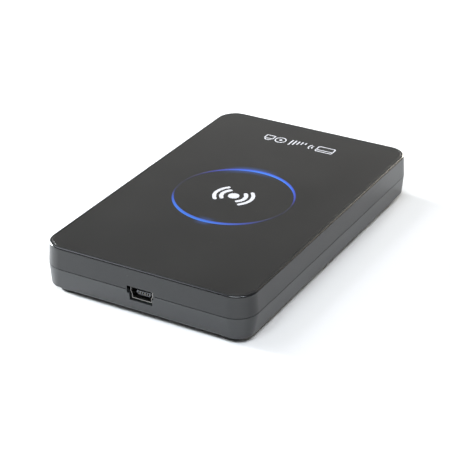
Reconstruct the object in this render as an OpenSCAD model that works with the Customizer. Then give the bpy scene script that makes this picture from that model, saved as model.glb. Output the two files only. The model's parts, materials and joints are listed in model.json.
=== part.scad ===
// Desktop RFID card reader: a flat box with a lit ring under its face panel and a Mini-B socket in its
// short rear wall.
// Frame: X across the short side, Y along the long side, Z up. The socket is in the -Y wall.
// The origin is at the middle of the footprint, on the surface that the feet stand on. Millimetres.

/* [Body] */
// Width of the body at the parting line
body_w = 70; // [66:0.5:80]
// Length of the body at the parting line
body_l = 112.8; // [110:0.2:125]
// Corner radius at the parting line
corner_r = 7; // [6.5:0.5:10]
// Height of the lower cover, without the feet
base_h = 7; // [6.8:0.1:7.5]
// Height of the upper cover
lid_h = 7; // [7:0.1:9]
// Wall thickness of both covers
wall = 2; // [1.8:0.1:2.2]
// How far the upper cover's sides lean in at the top
lid_lean = 0.45; // [0:0.05:0.6]
// How far the lower cover's sides lean in at the bottom
base_lean = 1; // [0.4:0.1:1.2]

/* [Face panel] */
// Thickness of the face panel
panel_t = 1; // [0.8:0.1:1.2]
// Width of the rim around the panel
rim_w = 1; // [0.8:0.05:1.2]
// Gap between the rim and the panel
panel_gap = 0.3; // [0.1:0.05:0.4]

/* [Lit ring] */
// Outer radius of the ring window along the body
ring_r = 19.6; // [18:0.1:20]
// Outer radius of the ring window across the body
ring_side_r = 19.2; // [18:0.1:20]
// Widest part of the window, towards the short sides of the body
ring_wide = 1.4; // [0.8:0.1:2.2]
// Narrowest part of the window, towards the long sides
ring_narrow = 0.4; // [0.3:0.05:0.9]
// Place of the ring's centre along Y
ring_y = -1.5; // [-2.5:0.5:0]

/* [Feet and screws] */
// How far the feet stand proud of the lower cover
foot_h = 1.5; // [1:0.1:2]
// Diameter of a foot
foot_d = 7; // [6:0.5:7.5]
// Distance of the case screws and feet from the body's long sides
screw_inset_x = 7.5; // [7:0.25:9]
// Distance of the case screws and feet from the body's short sides
screw_inset_y = 5.6; // [5.5:0.1:7]

/* [Circuit board] */
// Width of the board
board_w = 58; // [57:0.5:60]
// Thickness of the board
board_t = 1.2; // [0.8:0.1:1.2]
// Turns of wire across the antenna coil
coil_columns = 3; // [2:1:4]
// Turns of wire up the antenna coil
coil_rows = 4; // [2:1:4]

/* [Hidden] */
$fn = 96;

// Colours
cover_grey = [0.17, 0.18, 0.19];
panel_black = [0.09, 0.09, 0.09];
lit_blue = [0.20, 0.45, 0.98];
print_white = [0.90, 0.90, 0.92];
frost_white = [0.85, 0.88, 0.92];
board_green = [0.05, 0.30, 0.16];
steel = [0.72, 0.72, 0.70];
gold = [0.85, 0.68, 0.30];
copper = [0.72, 0.38, 0.18];
chip_black = [0.06, 0.06, 0.06];
tin = [0.78, 0.79, 0.80];
tan_ceramic = [0.66, 0.52, 0.36];

// Heights
z_base = foot_h;                    // underside of the lower cover
z_part = z_base + base_h;           // parting line
z_top = z_part + lid_h;             // top of the rim and of the face panel
floor_t = 1.6;                      // floor of the lower cover
plate_t = 1.5;                      // plate of the upper cover, under the panel
tape_t = 0.1;
z_floor = z_base + floor_t;
z_recess = z_top - panel_t - tape_t;
z_plate = z_recess - plate_t;
z_board = z_base + 4.05;            // upper face of the circuit board
fit_gap = 0.05;                     // clearance between neighbouring moulded pieces

// Rim and parting line
rim_round = 0.65;                   // rounding of the rim's outer edge
part_bevel = 0.12;                  // bevel of both covers at the parting line
lip_t = 0.95;                       // lip of the lower cover, inside the upper one
lip_h = 1.2;

panel_w = body_w - 2 * (lid_lean + rim_w + panel_gap);
panel_l = body_l - 2 * (lid_lean + rim_w + panel_gap);
panel_r = corner_r - lid_lean - rim_w - panel_gap;

// Light guide stack, all round the ring's centre
guide_r = ring_r + 1.3;             // outer radius of the light ring
guide_in = ring_r - 2.8;            // inner radius of the light ring
flange_w = 1.6;                     // outer flange under the upper cover's plate
flange_in_w = 1.2;                  // inner flange that carries the centre baffle
flange_t = 0.9;
z_guide = z_plate - flange_t;       // underside of the light ring
well_t = 0.9;                       // wall of the reflector
led_angles = [80, 100, 260, 280];
led_r = ring_r - 0.7;

// Screws
screw_x = body_w / 2 - screw_inset_x;
screw_y = body_l / 2 - screw_inset_y;
screw_r = 1.25;
head_r = 2.3;
head_h = 1.5;
post_r = 3.6;                       // lower cover's post, with the head's counterbore in it
boss_r = 3;                         // upper cover's boss
z_pocket = z_base + 0.8;            // roof of a foot's pocket
z_seat = z_pocket + 2;              // where a case screw's head bears
z_post = z_seat + 1.4;              // where post and boss meet

// Circuit board
board_front = -body_l / 2 + wall + 0.3;
board_back = 44.5;
board_step = -44.5;                 // the board is narrow in front of this, beside the screw posts
tab_w = 43;
hold_x = 25;                        // board screws
hold_y = 40;
hold_r = 1.2;
board_screw_r = 1;

// Antenna coil
wire_r = 0.35;
wire_pitch = 0.72;
coil_r = 27;
coil_top = z_plate - 0.15;
coil_span = (coil_columns - 1) * wire_pitch + 2 * wire_r;
coil_deep = (coil_rows - 1) * wire_pitch + 2 * wire_r;
lead_angles = [250, 256];
solder_h = 0.6;

// Mini-B socket
port_x = 0;
shell_front = -body_l / 2 + 1;
shell_l = 9.2;
shell_h = 3.95;
shell_t = 0.3;
shell_half = 3.85;                  // half the width of the upper, wide part
shell_low = 3.45;                   // half the width of the lower part
port_top = z_board + shell_h + 0.2;
port_low = z_board - 0.55;
port_step = z_board + 1.75;         // the opening is wide above this
port_half = 4.4;
port_low_half = 3.8;

// Buzzer and its sound holes
buzzer_at = [12, 36];
buzzer_r = 6;
buzzer_h = 5.5;
label_size = [40, 26];
label_y = -8;

// A rectangle with round corners, flat on the XY plane
module rounded_rect(w, l, r) {
    square([w - 2 * r, l], center = true);
    square([w, l - 2 * r], center = true);
    for (x = [-1, 1], y = [-1, 1])
        translate([x * (w / 2 - r), y * (l / 2 - r)]) circle(r);
}

module rounded_plate(w, l, r, z, t) {
    translate([0, 0, z]) linear_extrude(t) rounded_rect(w, l, r);
}

// Runs a wall section round the body's outline. In the section, x is measured outwards from the outline
// at the parting line and y is the height.
module run_round() {
    for (side = [0:3]) {
        across = side % 2 == 0 ? body_w : body_l;
        along = side % 2 == 0 ? body_l : body_w;
        rotate(90 * side) {
            translate([across / 2 - corner_r, along / 2 - corner_r, 0])
                rotate_extrude(angle = 90) translate([corner_r, 0]) children();
            translate([across / 2, along / 2 - corner_r, 0])
                rotate([90, 0, 0]) linear_extrude(along - 2 * corner_r) children();
        }
    }
}

// A cylinder from z0 to z1
module post(r, z0, z1) {
    translate([0, 0, z0]) cylinder(r = r, h = z1 - z0);
}

module tube(r, r_in, z0, z1) {
    difference() {
        post(r, z0, z1);
        post(r_in, z0 - 1, z1 + 1);
    }
}

// A block centred in X and Y that stands on z
module block(size, z) {
    translate([0, 0, z + size.z / 2]) cube(size, center = true);
}

module at_screws() {
    for (x = [-1, 1], y = [-1, 1]) translate([x * screw_x, y * screw_y, 0]) children();
}

module at_board_screws() {
    for (x = [-1, 1], y = [-1, 1]) translate([x * hold_x, y * hold_y, 0]) children();
}

module at_ring() {
    translate([0, ring_y, 0]) children();
}

// The socket's opening through both covers: wide above, narrow below
module port_opening() {
    deep = 2 * wall + 2;
    translate([port_x, -body_l / 2 + wall / 2, 0]) {
        block([2 * port_half, deep, port_top - port_step], port_step);
        block([2 * port_low_half, deep, port_top - port_low], port_low);
    }
}

// Section of the upper cover's wall: leaning outside, round rim, step for the panel, rebate for the lip
module lid_section() {
    lean_z = z_top - rim_round;
    rim_arc = [for (a = [0:15:90])
        [-lid_lean - rim_round + rim_round * cos(a), lean_z + rim_round * sin(a)]];
    polygon(concat(
        [[-part_bevel, z_part], [0, z_part + part_bevel]],
        rim_arc,
        [
            [-lid_lean - rim_w, z_top], [-lid_lean - rim_w, z_recess], [-wall, z_recess],
            [-wall, z_part + lip_h + 0.1], [-wall + lip_t + fit_gap, z_part + lip_h + 0.1],
            [-wall + lip_t + fit_gap, z_part]
        ]
    ));
}

module top_cover() {
    color(cover_grey) difference() {
        union() {
            run_round() lid_section();
            rounded_plate(body_w - 2 * wall + 0.02, body_l - 2 * wall + 0.02, corner_r - wall + 0.01,
                z_plate, plate_t);
            at_screws() post(boss_r, z_post, z_plate);
            at_ring() for (r = [coil_r - coil_span / 2 - 0.4, coil_r + coil_span / 2 + 1.2])
                tube(r, r - 0.8, z_plate - 2.5, z_plate);
            for (x = [-1, 1]) translate([x * 15, 0, 0]) for (y = [-43, 43])
                translate([0, y, 0]) block([0.9, 18, 1], z_plate - 1);
        }
        at_screws() post(screw_r + 0.05, z_post - 1, z_plate - 1);
        at_ring() post(guide_r + fit_gap, z_plate - 1, z_top + 1);
        port_opening();
    }
}

// Section of the lower cover's wall, with the lip that locates the upper cover
module base_section() {
    foot_round = 0.5;
    low_arc = [for (a = [-90:15:0])
        [-base_lean - foot_round + foot_round * cos(a), z_base + foot_round + foot_round * sin(a)]];
    polygon(concat(
        low_arc,
        [
            [0, z_part - part_bevel], [-part_bevel, z_part], [-wall + lip_t, z_part],
            [-wall + lip_t, z_part + lip_h], [-wall, z_part + lip_h], [-wall - base_lean, z_floor],
            [-wall - base_lean, z_base]
        ]
    ));
}

module bottom_cover() {
    inner_w = body_w - 2 * (wall + base_lean) + 0.02;
    inner_l = body_l - 2 * (wall + base_lean) + 0.02;
    color(cover_grey) difference() {
        union() {
            run_round() base_section();
            rounded_plate(inner_w, inner_l, corner_r - wall - base_lean + 0.01, z_base, floor_t);
            at_screws() post(post_r, z_floor - 0.5, z_post - fit_gap);
            at_board_screws() post(2.6, z_floor - 0.5, z_board - board_t);
            for (x = [-18, 18]) translate([x, 0, 0]) block([0.9, 70, 0.8], z_floor);
        }
        at_screws() {
            post(foot_d / 2 + 0.1, z_base - 1, z_pocket);
            post(head_r + 0.2, z_base - 1, z_seat);
            post(screw_r + 0.2, z_base - 1, z_post + 1);
        }
        at_board_screws() post(board_screw_r, z_base + 0.8, z_board);
        translate([0, label_y, 0]) rounded_plate(label_size.x + 0.6, label_size.y + 0.6, 1.3, z_base - 1, 1.15);
        translate(buzzer_at) {
            post(0.6, 0, z_floor + 1);
            for (a = [0:60:300]) rotate(a) translate([2.2, 0, 0]) post(0.6, 0, z_floor + 1);
        }
        port_opening();
    }
}

print_t = 0.05;                     // depth of the printed marks, flush in the panel
legend_y = 42.4;
mark_stroke = 0.42;

// An arc stroke of the printed marks, symmetric about +X
module arc_stroke(r, stroke, half_angle) {
    intersection() {
        difference() {
            circle(r + stroke / 2);
            circle(r - stroke / 2);
        }
        polygon([[0, 0], 2 * r * [cos(half_angle), -sin(half_angle)], [2 * r / cos(half_angle), 0],
            2 * r * [cos(half_angle), sin(half_angle)]]);
    }
}

// Plain radio mark: a dot between two pairs of arcs
module emblem_shape() {
    circle(1.8);
    for (turn = [0, 180]) rotate(turn) {
        arc_stroke(3.9, 1.3, 50);
        arc_stroke(6.1, 1.2, 48);
    }
}

// A rounded rectangle drawn as a line; the size is its outer one
module rect_stroke(w, l, r, stroke) {
    difference() {
        rounded_rect(w, l, r);
        rounded_rect(w - 2 * stroke, l - 2 * stroke, r - stroke * 0.6);
    }
}

module ring_stroke(r, stroke) {
    difference() {
        circle(r);
        circle(r - stroke);
    }
}

// Plain pictograms in a row, in thin lines: a card, waves, a rising bar scale, a target and a padlock
module legend_shape() {
    mark_h = 4.1;
    translate([-10, 0]) {
        rect_stroke(6.4, mark_h, 0.7, mark_stroke);
        translate([0, 0.7]) square([6, mark_stroke], center = true);
    }
    translate([-6.3, 0]) for (r = [1.2, 2.3]) arc_stroke(r, mark_stroke, 44);
    for (bar = [0:4]) translate([-2.45 + 1.25 * bar, -mark_h / 2]) square([0.5, 1.35 + 0.7 * bar]);
    translate([6.6, 0]) {
        ring_stroke(mark_h / 2, mark_stroke);
        circle(0.55);
    }
    translate([10.9, -0.65]) {
        rect_stroke(3.5, 2.8, 0.5, mark_stroke);
        translate([0, 1.2]) difference() {
            ring_stroke(1.36, mark_stroke);
            translate([-2, -2]) square([4, 2]);
        }
    }
}

// The marks read from the +Y side of the body
module at_emblem() {
    at_ring() translate([0, 0, z_top - print_t]) children();
}

module at_legend() {
    translate([0, legend_y, z_top - print_t]) rotate(180) children();
}

module emblem_print() {
    color(print_white) at_emblem() linear_extrude(print_t) emblem_shape();
}

module legend_print() {
    color(print_white) at_legend() linear_extrude(print_t) legend_shape();
}

// A filled ellipse with its centre at the origin
module ellipse(rx, ry) {
    polygon([for (a = [0:3:357]) [rx * cos(a), ry * sin(a)]]);
}

// Outline of the ring window, wide towards both short sides; clear draws both edges in
module ring_shape(clear = 0) {
    difference() {
        ellipse(ring_side_r - clear, ring_r - clear);
        ellipse(ring_side_r - ring_narrow + clear, ring_r - ring_wide + clear);
    }
}

ring_deep = 0.3;

module face_panel() {
    color(panel_black) difference() {
        rounded_plate(panel_w, panel_l, panel_r, z_top - panel_t, panel_t);
        at_ring() translate([0, 0, z_top - ring_deep]) linear_extrude(1) ring_shape();
        at_emblem() linear_extrude(1) emblem_shape();
        at_legend() linear_extrude(1) legend_shape();
    }
}

module ring_window() {
    clear = 0.02;
    color(lit_blue) at_ring() translate([0, 0, z_top - ring_deep]) linear_extrude(ring_deep) ring_shape(clear);
}

module panel_tape() {
    color(chip_black) difference() {
        rounded_plate(panel_w - 1.4, panel_l - 1.4, panel_r - 0.7, z_recess, tape_t);
        at_ring() post(guide_r + 0.6, z_recess - 1, z_recess + 1);
    }
}

module light_ring() {
    color(frost_white) at_ring() difference() {
        union() {
            post(guide_r, z_guide, z_recess);
            post(guide_r + flange_w, z_guide, z_plate);
        }
        post(guide_in - flange_in_w, z_guide - 1, z_recess + 1);
        post(guide_in, z_plate, z_recess + 1);
    }
}

module centre_baffle() {
    color(chip_black) at_ring() {
        post(guide_in - fit_gap, z_plate, z_recess);
        tube(guide_in - flange_in_w - fit_gap, guide_in - flange_in_w - 1, z_guide, z_plate);
    }
}

// White trough under the light ring, with a hole over each LED and three short legs on the board
module reflector_ring() {
    outer = guide_r + flange_w;
    inner = guide_in - flange_in_w;
    z_well = z_board + 1.05;
    color(frost_white) at_ring() {
        difference() {
            tube(outer, inner, z_well, z_guide);
            tube(outer - well_t, inner + well_t, z_well + 0.8, z_guide + 1);
            for (a = led_angles) rotate(a) translate([led_r, 0, 0]) post(1.5, z_board, z_guide);
        }
        for (a = [30, 150, 210, 330]) rotate(a) translate([led_r, 0, 0]) post(0.9, z_board, z_well + 0.4);
    }
}

module rubber_feet() {
    soft_edge = 0.3;
    color([0.05, 0.05, 0.05]) at_screws() rotate_extrude() polygon([
        [0, 0], [foot_d / 2 - soft_edge, 0], [foot_d / 2, soft_edge], [foot_d / 2, z_pocket], [0, z_pocket]
    ]);
}

// A self-tapping screw that points up from z = 0 under its head: crests on the shank and a cross recess
module tapping_screw(r, length, r_head, h_head) {
    root = r * 0.78;
    pitch = r * 0.72;
    turns = floor((length - r) / pitch) - 1;
    difference() {
        union() {
            post(r_head, -h_head, 0);
            rotate_extrude() polygon(concat(
                [[0, 0], [root, 0]],
                [for (i = [0:turns - 1], k = [0:2])
                    [k == 1 ? r : root, r * 0.5 + i * pitch + (k - 1) * pitch * 0.35]],
                [[root, length - r * 0.8], [0, length]]
            ));
        }
        for (a = [0, 90]) rotate(a) block([r_head * 1.1, r_head * 0.24, 2], -h_head - 1.2);
    }
}

module case_screws() {
    color(steel) at_screws() translate([0, 0, z_seat]) tapping_screw(screw_r, 7.5, head_r, head_h);
}

module board_screws() {
    color(steel) at_board_screws() translate([0, 0, z_board]) mirror([0, 0, 1])
        tapping_screw(board_screw_r - 0.05, 3.2, 1.9, 1.1);
}

module base_label() {
    color([0.55, 0.56, 0.57]) translate([0, label_y, 0])
        rounded_plate(label_size.x, label_size.y, 1, z_base + 0.03, 0.12);
}

module main_board() {
    wide_l = board_back - board_step;
    color(board_green) difference() {
        translate([0, 0, z_board - board_t]) linear_extrude(board_t) {
            translate([0, board_step + wide_l / 2]) rounded_rect(board_w, wide_l, 2);
            translate([-tab_w / 2, board_front]) square([tab_w, board_step - board_front + 3]);
        }
        at_board_screws() post(hold_r, 0, z_board + 1);
        for (x = [-1, 1]) translate([port_x + x * 2.2, shell_front + 4.6, 0]) post(0.45, 0, z_board + 1);
        for (x = [-12:3:12]) translate([x, 41.5, 0]) post(0.4, 0, z_board + 1);
    }
}

// Section of the socket's steel shell, standing on the board: wide above, drawn in below
module shell_outline(inset = 0) {
    a = shell_half - inset;
    b = shell_low - inset;
    low = inset;
    high = shell_h - inset;
    polygon([
        [-a, high], [a, high], [a, 2.2], [b, 1.5], [b, low + 0.3], [b - 0.3, low],
        [-b + 0.3, low], [-b, low + 0.3], [-b, 1.5], [-a, 2.2]
    ]);
}

module usb_shell() {
    color(steel) translate([port_x, shell_front, z_board]) {
        difference() {
            rotate([90, 0, 0]) translate([0, 0, -shell_l]) linear_extrude(shell_l) difference() {
                shell_outline();
                shell_outline(shell_t);
            }
            // windows round the two spring tongues
            for (x = [-1.9, 1.9]) translate([x, 4.4, shell_h - 0.15]) cube([1.6, 4, 1], center = true);
        }
        // spring tongues, sprung inwards
        for (x = [-1.9, 1.9]) translate([x, 4.6, shell_h - shell_t - 0.02]) rotate([-3, 0, 0])
            translate([0, 0, 0.1]) cube([0.9, 3.7, 0.18], center = true);
        // solder feet, bent out flat on the board
        for (x = [-1, 1], y = [1.6, 7.4]) translate([x * (shell_low + 0.85), y, 0]) {
            block([2, 1.6, shell_t], 0);
            translate([-x * 0.65, 0, 0]) block([shell_t, 1.6, 2.2], 0);
        }
    }
}

contact_x = [-1.6, -0.8, 0, 0.8, 1.6];
tongue_low = 0.95;
tongue_high = 2.35;
module usb_insulator() {
    inset = shell_t + 0.02;
    color([0.28, 0.29, 0.30]) translate([port_x, shell_front, z_board]) difference() {
        rotate([90, 0, 0]) union() {
            translate([0, 0, -shell_l + 0.1]) linear_extrude(2.6) shell_outline(inset);
            translate([0, 0, -shell_l + 0.5]) linear_extrude(shell_l - 1.3) polygon([
                [-2.45, tongue_high], [2.45, tongue_high], [2.45, tongue_high - 0.6],
                [2, tongue_low], [-2, tongue_low], [-2.45, tongue_high - 0.6]
            ]);
        }
        for (x = contact_x) translate([x - 0.22, -1, tongue_low + 0.35]) cube([0.44, shell_l + 2, 0.8]);
    }
}

module usb_contacts() {
    color(gold) translate([port_x, shell_front, z_board]) for (x = contact_x) translate([x, 0, 0]) {
        translate([-0.18, 1.3, tongue_low + 0.5]) cube([0.36, shell_l - 1, 0.2]);
        translate([-0.18, shell_l + 0.1, 0]) cube([0.36, 0.2, tongue_low + 0.7]);
        translate([-0.18, shell_l + 0.1, 0]) cube([0.36, 1.1, 0.2]);
    }
}

module ring_leds() {
    at_ring() for (a = led_angles) rotate(a) translate([led_r, 0, 0]) {
        color(print_white) block([1.25, 2, 0.45], z_board);
        color(lit_blue) block([1.05, 1.3, 0.35], z_board + 0.45);
    }
}

module antenna_coil() {
    first = coil_r - coil_span / 2 + wire_r;
    color(copper) at_ring() for (i = [0:coil_columns - 1], k = [0:coil_rows - 1])
        rotate_extrude() translate([first + i * wire_pitch, coil_top - wire_r - k * wire_pitch])
            rotate(22.5) circle(wire_r, $fn = 8);
}

// Tape wraps that hold the turns together
module coil_ties() {
    tape = 0.08;
    slack = 0.03;
    color(gold) at_ring() for (a = [20, 110, 200, 290]) rotate(a) translate([coil_r, 0, 0]) difference() {
        translate([0, 0, coil_top - coil_deep / 2])
            cube([coil_span + 2 * (slack + tape) + 0.2, 3, coil_deep + 2 * (slack + tape)], center = true);
        translate([0, 0, coil_top - coil_deep / 2])
            cube([coil_span + 2 * slack + 0.2, 4, coil_deep + 2 * slack], center = true);
    }
}

// The two ends of the winding, straight down to the board
module coil_leads() {
    color(copper) at_ring() for (a = lead_angles) rotate(a) translate([coil_r + 0.4, 0, 0])
        post(wire_r, z_board + solder_h, coil_top - coil_deep - 0.02);
}

module coil_solder() {
    color(tin) at_ring() for (a = lead_angles) rotate(a) translate([coil_r + 0.4, 0, z_board])
        cylinder(r1 = 1.1, r2 = 0.4, h = solder_h, $fn = 32);
}

// A chip body with a pin-1 dimple
module chip_body(size, z) {
    difference() {
        block(size, z);
        translate([-size.x / 2 + 0.9, size.y / 2 - 0.9, 0]) post(0.35, z + size.z - 0.1, z + size.z + 1);
    }
}

// One row of gull-wing leads along Y on the +X side of a chip
module lead_row(count, pitch, reach, half, height) {
    lead = 0.25;
    for (i = [0:count - 1]) translate([half, (i - (count - 1) / 2) * pitch, z_board]) {
        translate([0, -lead / 2, height]) cube([reach * 0.5, lead, 0.15]);
        translate([reach * 0.5 - 0.15, -lead / 2, 0]) cube([0.15, lead, height + 0.15]);
        translate([reach * 0.5 - 0.15, -lead / 2, 0]) cube([reach * 0.5 + 0.15, lead, 0.15]);
    }
}

quad_size = [7, 7, 1.4];
module controller_chip() {
    color(chip_black) at_ring() chip_body(quad_size, z_board + 0.1);
}

module controller_pins() {
    color(tin) at_ring() for (a = [0:90:270]) rotate(a) lead_row(12, 0.5, 1, quad_size.x / 2, 0.7);
}

radio_size = [8.65, 3.9, 1.4];
radio_at = [-11, 36, 0];
module radio_chip() {
    color(chip_black) translate(radio_at) chip_body(radio_size, z_board + 0.1);
}

module radio_pins() {
    color(tin) translate(radio_at) for (a = [90, 270]) rotate(a)
        lead_row(7, 1.27, 1.1, radio_size.y / 2, 0.7);
}

module crystal() {
    color(tin) translate([0, ring_y - 9.5, 0]) {
        block([11.2, 4.6, 0.5], z_board);
        translate([0, 0, z_board + 0.5]) linear_extrude(3) rounded_rect(10.2, 3.7, 1.8);
    }
}

module voltage_regulator() {
    translate([14, -38, 0]) {
        color(chip_black) block([6.5, 3.5, 1.6], z_board + 0.05);
        color(tin) translate([0, 1.75 + 0.75, 0]) block([3, 1.5, 0.3], z_board);
        color(tin) for (x = [-2.3, 0, 2.3]) translate([x, -1.75 - 0.75, 0]) block([0.7, 1.5, 0.3], z_board);
    }
}

module esd_clamp() {
    translate([8.5, -43.5, 0]) {
        color(chip_black) block([2.9, 1.6, 1.1], z_board + 0.05);
        color(tin) for (x = [-0.95, 0, 0.95], y = [-1.15, 1.15]) translate([x, y, 0])
            block([0.4, 0.7, 0.2], z_board);
    }
}

module buzzer() {
    color(chip_black) translate(buzzer_at) difference() {
        union() {
            post(buzzer_r, z_board, z_board + buzzer_h - 0.6);
            post(buzzer_r - 0.4, z_board + buzzer_h - 0.6, z_board + buzzer_h);
        }
        post(1.1, z_board + buzzer_h - 1.5, z_board + buzzer_h + 1);
    }
}

module storage_capacitors() {
    for (y = [-38, -31]) translate([-17, y, 0]) {
        color([0.75, 0.55, 0.15]) block([7.3, 4.3, 2.8], z_board + 0.05);
        color(tin) for (x = [-1, 1]) translate([x * 3.7, 0, 0]) block([0.1, 2.4, 1.6], z_board);
    }
}

module power_choke() {
    translate([3, -36, 0]) {
        color([0.15, 0.15, 0.16]) difference() {
            rounded_plate(5.4, 5.4, 1, z_board, 2.6);
            post(1.9, z_board + 2.4, z_board + 4);
        }
        color(tin) for (x = [-1, 1]) translate([x * 2.85, 0, 0]) block([0.3, 2.4, 0.5], z_board);
    }
}

// Chip part, 1.6 by 0.8: a body between two tinned ends
module chip_part(body_colour, h) {
    color(body_colour) block([0.9, 0.8, h], z_board);
    color(tin) for (x = [-1, 1]) translate([x * 0.625, 0, 0]) block([0.35, 0.82, h + 0.02], z_board);
}

capacitor_places = [
    [6.5, 4], [6.5, -3], [-6.5, 4], [-6.5, -7], [-20, 37], [-20, 34], [-3, 38], [-3, 34], [9, -38],
    [19.5, -38], [-10, -36], [-10, -33], [12, -45], [-24, 24], [24, 24], [-8, 41], [3, 8]
];
resistor_places = [
    [-3, 36], [-20, 31.5], [-16, 31.5], [-12, 31.5], [12, -47.5], [-10, -30], [8, -31], [12, -31],
    [24, -22], [-24, -22], [-3, 8], [-7, 8], [22, 36], [22, 33]
];

module chip_capacitors() {
    for (p = capacitor_places) translate(p) chip_part(tan_ceramic, 0.8);
}

module chip_resistors() {
    for (p = resistor_places) translate(p) chip_part(chip_black, 0.45);
}

top_cover();
face_panel();
panel_tape();
ring_window();
emblem_print();
legend_print();
light_ring();
centre_baffle();
reflector_ring();
bottom_cover();
rubber_feet();
case_screws();
base_label();
main_board();
board_screws();
usb_shell();
usb_insulator();
usb_contacts();
ring_leds();
antenna_coil();
coil_ties();
coil_leads();
coil_solder();
controller_chip();
controller_pins();
radio_chip();
radio_pins();
crystal();
voltage_regulator();
esd_clamp();
buzzer();
storage_capacitors();
power_choke();
chip_capacitors();
chip_resistors();
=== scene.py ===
import bmesh
import bpy
import json
import math
from mathutils import Matrix, Vector


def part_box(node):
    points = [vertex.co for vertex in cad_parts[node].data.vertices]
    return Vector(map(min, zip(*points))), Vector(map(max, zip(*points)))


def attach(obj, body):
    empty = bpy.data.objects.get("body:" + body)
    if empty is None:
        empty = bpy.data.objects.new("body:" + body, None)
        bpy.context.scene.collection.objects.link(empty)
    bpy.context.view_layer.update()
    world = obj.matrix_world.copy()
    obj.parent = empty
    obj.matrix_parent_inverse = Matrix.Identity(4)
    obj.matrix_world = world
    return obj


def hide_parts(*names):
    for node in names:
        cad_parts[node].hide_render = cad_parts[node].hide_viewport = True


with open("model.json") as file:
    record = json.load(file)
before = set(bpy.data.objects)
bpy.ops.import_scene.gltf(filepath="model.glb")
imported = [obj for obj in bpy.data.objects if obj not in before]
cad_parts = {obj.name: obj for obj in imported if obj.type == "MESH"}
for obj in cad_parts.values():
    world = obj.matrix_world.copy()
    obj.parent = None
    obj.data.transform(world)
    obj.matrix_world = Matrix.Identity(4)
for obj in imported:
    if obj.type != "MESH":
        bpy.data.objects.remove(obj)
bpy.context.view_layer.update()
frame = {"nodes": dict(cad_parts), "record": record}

# ---------------------------------------------------------------------------------------------------
# Sizes. Shapes are worked out in millimetres and made in metres. X is across the short side, Y along
# the long side and Z up; the socket is in the -Y wall.
# ---------------------------------------------------------------------------------------------------
MM = 0.001


def box_mm(node):
    low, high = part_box(node)
    return low / MM, high / MM


base_low, base_high = box_mm("bottom_cover")
panel_low, panel_high = box_mm("face_panel")
ring_low, ring_high = box_mm("ring_window")

BODY_W = base_high.x - base_low.x
BODY_L = base_high.y - base_low.y
Z_BASE = base_low.z
LIP = 1.2                   # the lower cover's lip stands this far up inside the upper one
Z_PART = base_high.z - LIP
Z_TOP = box_mm("top_cover")[1].z
WALL = 2.0
FLOOR = 1.6
PLATE = 1.5                 # thickness of the upper cover's plate under the panel
TAPE = 0.1
Z_RECESS = panel_low.z - TAPE
Z_FLOOR = Z_BASE + FLOOR

CORNER_PART = 7.1           # corner radius at the parting line
CORNER_TOP = 6.6            # at the rim
CORNER_BOTTOM = 4.9         # at the underside
LID_LEAN = 0.45
BASE_LEAN = 1.0
RIM_W = 1.0
RIM_ROUND = 0.65
RIM_SOFT = 0.08             # small round on the rim's inner edge
BASE_ROUND = 0.6
GROOVE = 0.13               # bevel of each cover at the parting line
SLOT, SLOT_DEEP = 0.07, 0.7  # half height and depth of the gap left between the covers

Z_BOARD = box_mm("main_board")[1].z
# The socket's opening: wide down to the step, narrower below it
PORT_TOP = Z_BOARD + 4.15
PORT_STEP = Z_BOARD + 1.75
PORT_LOW = Z_BOARD - 0.55
PORT_HALF = 4.4
PORT_LOW_HALF = 3.8
PORT_EDGE = 0.1
SHELL_FRONT = box_mm("usb_shell")[0].y
SHELL_DEPTH = 9.2

RING_Y = (ring_low.y + ring_high.y) / 2
RING_R = (ring_high.y - ring_low.y) / 2        # along the body
RING_SIDE_R = (ring_high.x - ring_low.x) / 2   # across it
RING_WIDE = 1.4
RING_NARROW = 0.4
PANEL_EDGE = 0.07
FOOT_X, FOOT_Y, FOOT_R = 27.5, 50.8, 3.5
NEAR = 0.01                 # two places closer than this are the same place


# ---------------------------------------------------------------------------------------------------
# Mesh tools
# ---------------------------------------------------------------------------------------------------
def piece_from(name, points, faces, sharp=32, weighted=True):
    """A piece from points in millimetres: faces made to agree, smooth between its sharp edges."""
    mesh = bpy.data.meshes.new(name)
    mesh.from_pydata([Vector(p) * MM for p in points], [], faces)
    work = bmesh.new()
    work.from_mesh(mesh)
    bmesh.ops.remove_doubles(work, verts=work.verts, dist=1e-7)
    bmesh.ops.dissolve_degenerate(work, edges=work.edges, dist=1e-8)
    bmesh.ops.recalc_face_normals(work, faces=work.faces)
    work.to_mesh(mesh)
    work.free()
    piece = bpy.data.objects.new(name, mesh)
    bpy.context.scene.collection.objects.link(piece)
    finish_shading(piece, sharp, weighted)
    return piece


def finish_shading(piece, sharp=32, weighted=True):
    piece.data.shade_smooth()
    piece.data.set_sharp_from_angle(angle=math.radians(sharp))
    if weighted:
        even = piece.modifiers.new("even_normals", "WEIGHTED_NORMAL")
        even.keep_sharp = True
        even.weight = 80


def polar(radius, degrees):
    """A point at an angle on a circle round the origin."""
    return radius * math.cos(math.radians(degrees)), radius * math.sin(math.radians(degrees))


def arc(cx, cy, radius, angles):
    """Points on a circle at the given angles. 0 is to the right or outwards and 90 is up."""
    return [(cx + dx, cy + dy) for dx, dy in (polar(radius, a) for a in angles)]


def outline(half_w, half_l, radius, front_stops=(), arc_steps=14):
    """Points round a rectangle with round corners, from the left end of the front (-Y) side."""
    points = [(x, -half_l) for x in front_stops]
    for sx, sy, start in ((1, -1, -90), (1, 1, 0), (-1, 1, 90), (-1, -1, 180)):
        angles = [start + 90 * i / arc_steps for i in range(arc_steps + 1)]
        points += arc(sx * (half_w - radius), sy * (half_l - radius), radius, angles)
    return points


def grid_faces(rings, count, skip=()):
    """Quads between closed rings of `count` points; skip holds (ring, place) pairs to leave open."""
    faces = []
    for k in range(rings - 1):
        for i in range(count):
            if (k, i) not in skip:
                j = (i + 1) % count
                faces.append((k * count + i, k * count + j, (k + 1) * count + j, (k + 1) * count + i))
    return faces


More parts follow.
